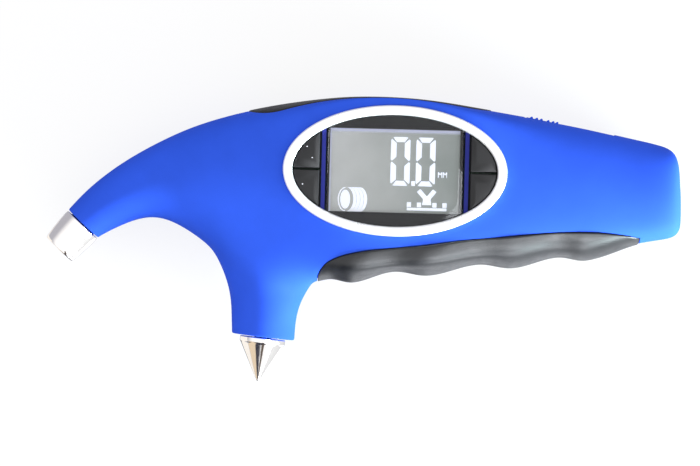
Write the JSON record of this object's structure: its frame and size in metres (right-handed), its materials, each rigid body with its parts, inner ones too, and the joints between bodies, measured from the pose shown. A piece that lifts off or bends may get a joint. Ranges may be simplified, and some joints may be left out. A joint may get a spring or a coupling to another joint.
{
  "type": "tire tread gauge",
  "caption": "Hand-held digital tyre gauge with a curved nose and pressure chuck, a hammer point on a stem, a waved finger grip, an oval display and a sliding tread-depth probe in its tail.",
  "frame": {"origin": "on the flat land of the rear shell that the gauge lies on, straight under the middle of the display oval", "axes": "+X along the display towards the tail, +Y across it towards the top ridge, +Z out of the display"},
  "size_m": [0.1898, 0.0862, 0.0333],
  "materials": {
    "blue_shell": "soft-touch satin",
    "grip_rubber": "matte moulded",
    "ridge_pad": "matte moulded",
    "bezel_silver": "bright plated plastic",
    "clear_lens": "clear",
    "lcd_glass": "grey-green liquid crystal",
    "black_plastic": "fine texture",
    "white_plastic": "diffuser",
    "chrome_plate": "polished",
    "steel": "plain",
    "brass": "turned",
    "circuit_board": "solder mask",
    "flex_film": "polyimide film",
    "clear_hose": "translucent silicone",
    "seal_rubber": "plain",
    "cell_jacket": "plain jacket",
    "wire_red": "insulation",
    "wire_black": "insulation"
  },
  "bodies": {
    "housing": {"air_tube": "clear_hose", "battery_bridge_plate": "steel", "battery_lead_black": "wire_black", "battery_lead_red": "wire_red", "battery_lower": "cell_jacket", "battery_upper": "cell_jacket", "bezel_ring": "bezel_silver", "depth_sensor_board": "circuit_board", "display_frame": "black_plastic", "display_window": "clear_lens", "finger_grip": "grip_rubber", "front_shell": "blue_shell", "hammer_insert": "brass", "hammer_tip": "chrome_plate", "housing_screw_crown": "steel", "housing_screw_nose": "steel", "housing_screw_stem": "steel", "housing_screw_tail": "steel", "housing_screw_track": "steel", "lcd_backlight": "white_plastic", "lcd_contact_strip": "seal_rubber", "lcd_panel": "lcd_glass", "main_circuit_board": "circuit_board", "negative_spring": "steel", "nozzle_body": "chrome_plate", "nozzle_seal": "seal_rubber", "positive_terminal": "steel", "pressure_sensor": "black_plastic", "probe_guide": "brass", "rear_shell": "blue_shell", "sensor_flex_cable": "flex_film", "tact_switch_lower_left": "black_plastic", "tact_switch_lower_right": "black_plastic", "tact_switch_upper_left": "black_plastic", "tact_switch_upper_right": "black_plastic", "top_pad": "ridge_pad", "valve_pin": "steel"},
    "button_upper_left": {"button_upper_left": "black_plastic"},
    "button_lower_left": {"button_lower_left": "black_plastic"},
    "button_upper_right": {"button_upper_right": "black_plastic"},
    "button_lower_right": {"button_lower_right": "black_plastic"},
    "slider": {"thumb_slider": "blue_shell"},
    "probe": {"probe_carriage": "black_plastic", "tread_probe": "steel", "wiper_contact": "brass"},
    "door": {"battery_door": "blue_shell"}
  },
  "joints": [
    {"name": "press_upper_left", "type": "slide", "parent": "housing", "child": "button_upper_left", "axis": [0, 0, -1], "range_m": [0, 0.0006], "stiffness_N_per_m": 300},
    {"name": "press_lower_left", "type": "slide", "parent": "housing", "child": "button_lower_left", "axis": [0, 0, -1], "range_m": [0, 0.0006], "stiffness_N_per_m": 300},
    {"name": "press_upper_right", "type": "slide", "parent": "housing", "child": "button_upper_right", "axis": [0, 0, -1], "range_m": [0, 0.0006], "stiffness_N_per_m": 300},
    {"name": "press_lower_right", "type": "slide", "parent": "housing", "child": "button_lower_right", "axis": [0, 0, -1], "range_m": [0, 0.0006], "stiffness_N_per_m": 300},
    {"name": "thumb_slide", "type": "slide", "parent": "housing", "child": "slider", "axis": [0.9839, -0.1788, 0], "range_m": [0, 0.0162]},
    {"name": "probe_slide", "type": "slide", "parent": "housing", "child": "probe", "axis": [1, 0, 0], "range_m": [0, 0.0163]},
    {"name": "door_lift_off", "type": "slide", "parent": "housing", "child": "door", "axis": [0, 0, -1], "range_m": [0, 0.03]}
  ],
  "couplings": [
    {"joint": "probe_slide", "follows": "thumb_slide", "ratio": 0.98389}
  ]
}
